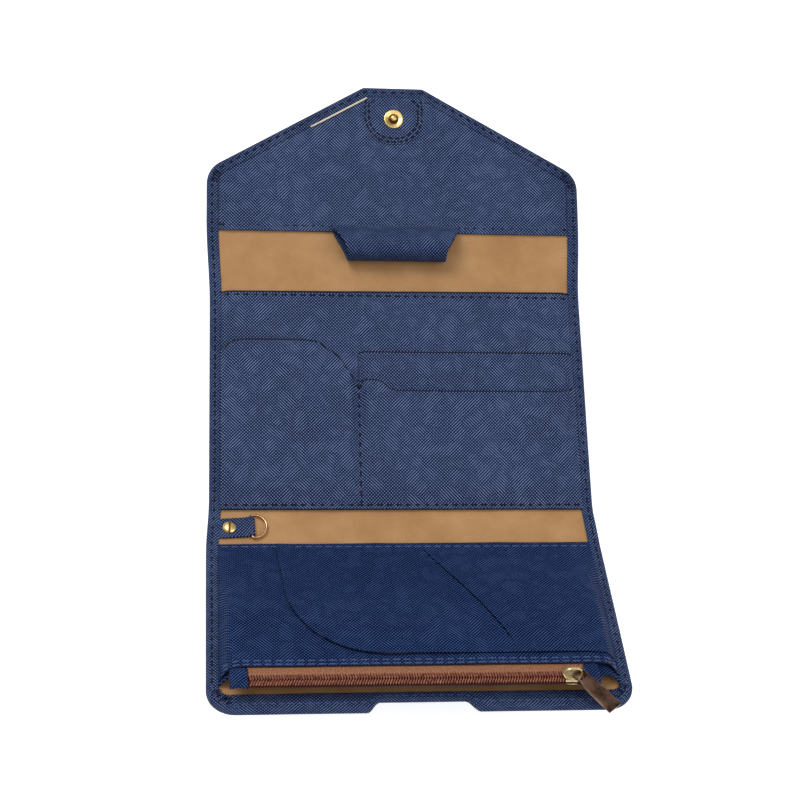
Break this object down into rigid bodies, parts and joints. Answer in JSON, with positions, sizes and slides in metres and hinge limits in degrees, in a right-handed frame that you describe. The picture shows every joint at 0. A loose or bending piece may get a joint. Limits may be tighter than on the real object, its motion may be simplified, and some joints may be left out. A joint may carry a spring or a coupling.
{
  "type": "passport holder",
  "caption": "Tri-fold passport holder with card pockets, zipped pocket, pen loop, D ring and a snap flap, shown open.",
  "frame": {"origin": "centre of the back panel's width on its outer face, 48 mm above the lower crease", "axes": "+X along the creases, +Y towards the flap, +Z from the outer face to the pockets"},
  "size_m": [0.16, 0.2799, 0.0609],
  "materials": {
    "navy_cover": "cross-grained, satin",
    "navy_panel": "cross-grained, satin",
    "tan_lining": "smooth, matt",
    "board": "plain",
    "stiffener": "felted, plain",
    "zip_tape": "woven",
    "zip_coil": "satin nylon",
    "gold_metal": "polished",
    "bronze_metal": "dark antique"
  },
  "bodies": {
    "back": {"cover_back": "navy_cover", "back_board": "board", "lining_back": "tan_lining", "card_backing_panel": "navy_panel", "card_slot_rear": "navy_panel", "card_front_panel": "navy_panel"},
    "lower_spine": {"cover_spine_lower": "navy_cover", "stiffener_lower": "stiffener", "lining_spine_lower": "tan_lining", "ring_tab": "navy_cover", "tab_screw": "gold_metal", "tab_screw_post": "gold_metal"},
    "ring": {"d_ring": "gold_metal"},
    "front": {"cover_front": "navy_cover", "front_board": "board", "lining_front": "tan_lining", "zip_pocket_back": "navy_panel", "zip_pocket_front": "navy_panel", "slip_panel": "navy_panel", "zip_tape_upper": "zip_tape", "zip_tape_lower": "zip_tape", "zip_coil_upper": "zip_coil", "zip_coil_lower": "zip_coil", "zip_end_tab_left": "navy_cover", "zip_end_tab_right": "navy_cover", "snap_socket": "gold_metal", "snap_socket_post": "gold_metal"},
    "slider": {"zip_slider": "gold_metal", "slider_bridge": "gold_metal"},
    "pull": {"zip_pull": "bronze_metal"},
    "upper_spine": {"cover_spine_upper": "navy_cover", "stiffener_upper": "stiffener", "lining_spine_upper": "tan_lining", "pen_loop": "navy_cover"},
    "flap": {"cover_flap": "navy_cover", "flap_board": "board", "flap_panel": "navy_panel", "snap_patch": "navy_panel", "snap_stud": "gold_metal", "snap_cap": "gold_metal"}
  },
  "joints": [
    {"name": "lower_fold", "type": "hinge", "parent": "back", "child": "lower_spine", "pos_m": [0, -0.048, 0.0024], "axis": [-1, 0, 0], "range_deg": [-15, 75]},
    {"name": "front_fold", "type": "hinge", "parent": "lower_spine", "child": "front", "pos_m": [0, -0.06403, 0.0067], "axis": [-1, 0, 0], "range_deg": [-15, 75]},
    {"name": "zip_slide", "type": "slide", "parent": "front", "child": "slider", "axis": [1, 0, 0], "range_m": [-0.1148, 0]},
    {"name": "pull_swing", "type": "hinge", "parent": "slider", "child": "pull", "pos_m": [0.0567, -0.12336, 0.05434], "axis": [0.7771, 0.545, -0.3147], "range_deg": [-110, 0]},
    {"name": "ring_swing", "type": "hinge", "parent": "lower_spine", "child": "ring", "pos_m": [-0.06202, -0.05556, 0.00566], "axis": [-0.0523, 0.9646, -0.2585], "range_deg": [-150, 0]},
    {"name": "upper_fold", "type": "hinge", "parent": "back", "child": "upper_spine", "pos_m": [0, 0.051, 0.0024], "axis": [1, 0, 0], "range_deg": [-4, 86]},
    {"name": "flap_fold", "type": "hinge", "parent": "upper_spine", "child": "flap", "pos_m": [0, 0.07394, 0.004], "axis": [1, 0, 0], "range_deg": [-4, 86]}
  ],
  "couplings": [
    {"joint": "front_fold", "follows": "lower_fold", "ratio": 1},
    {"joint": "flap_fold", "follows": "upper_fold", "ratio": 1}
  ]
}
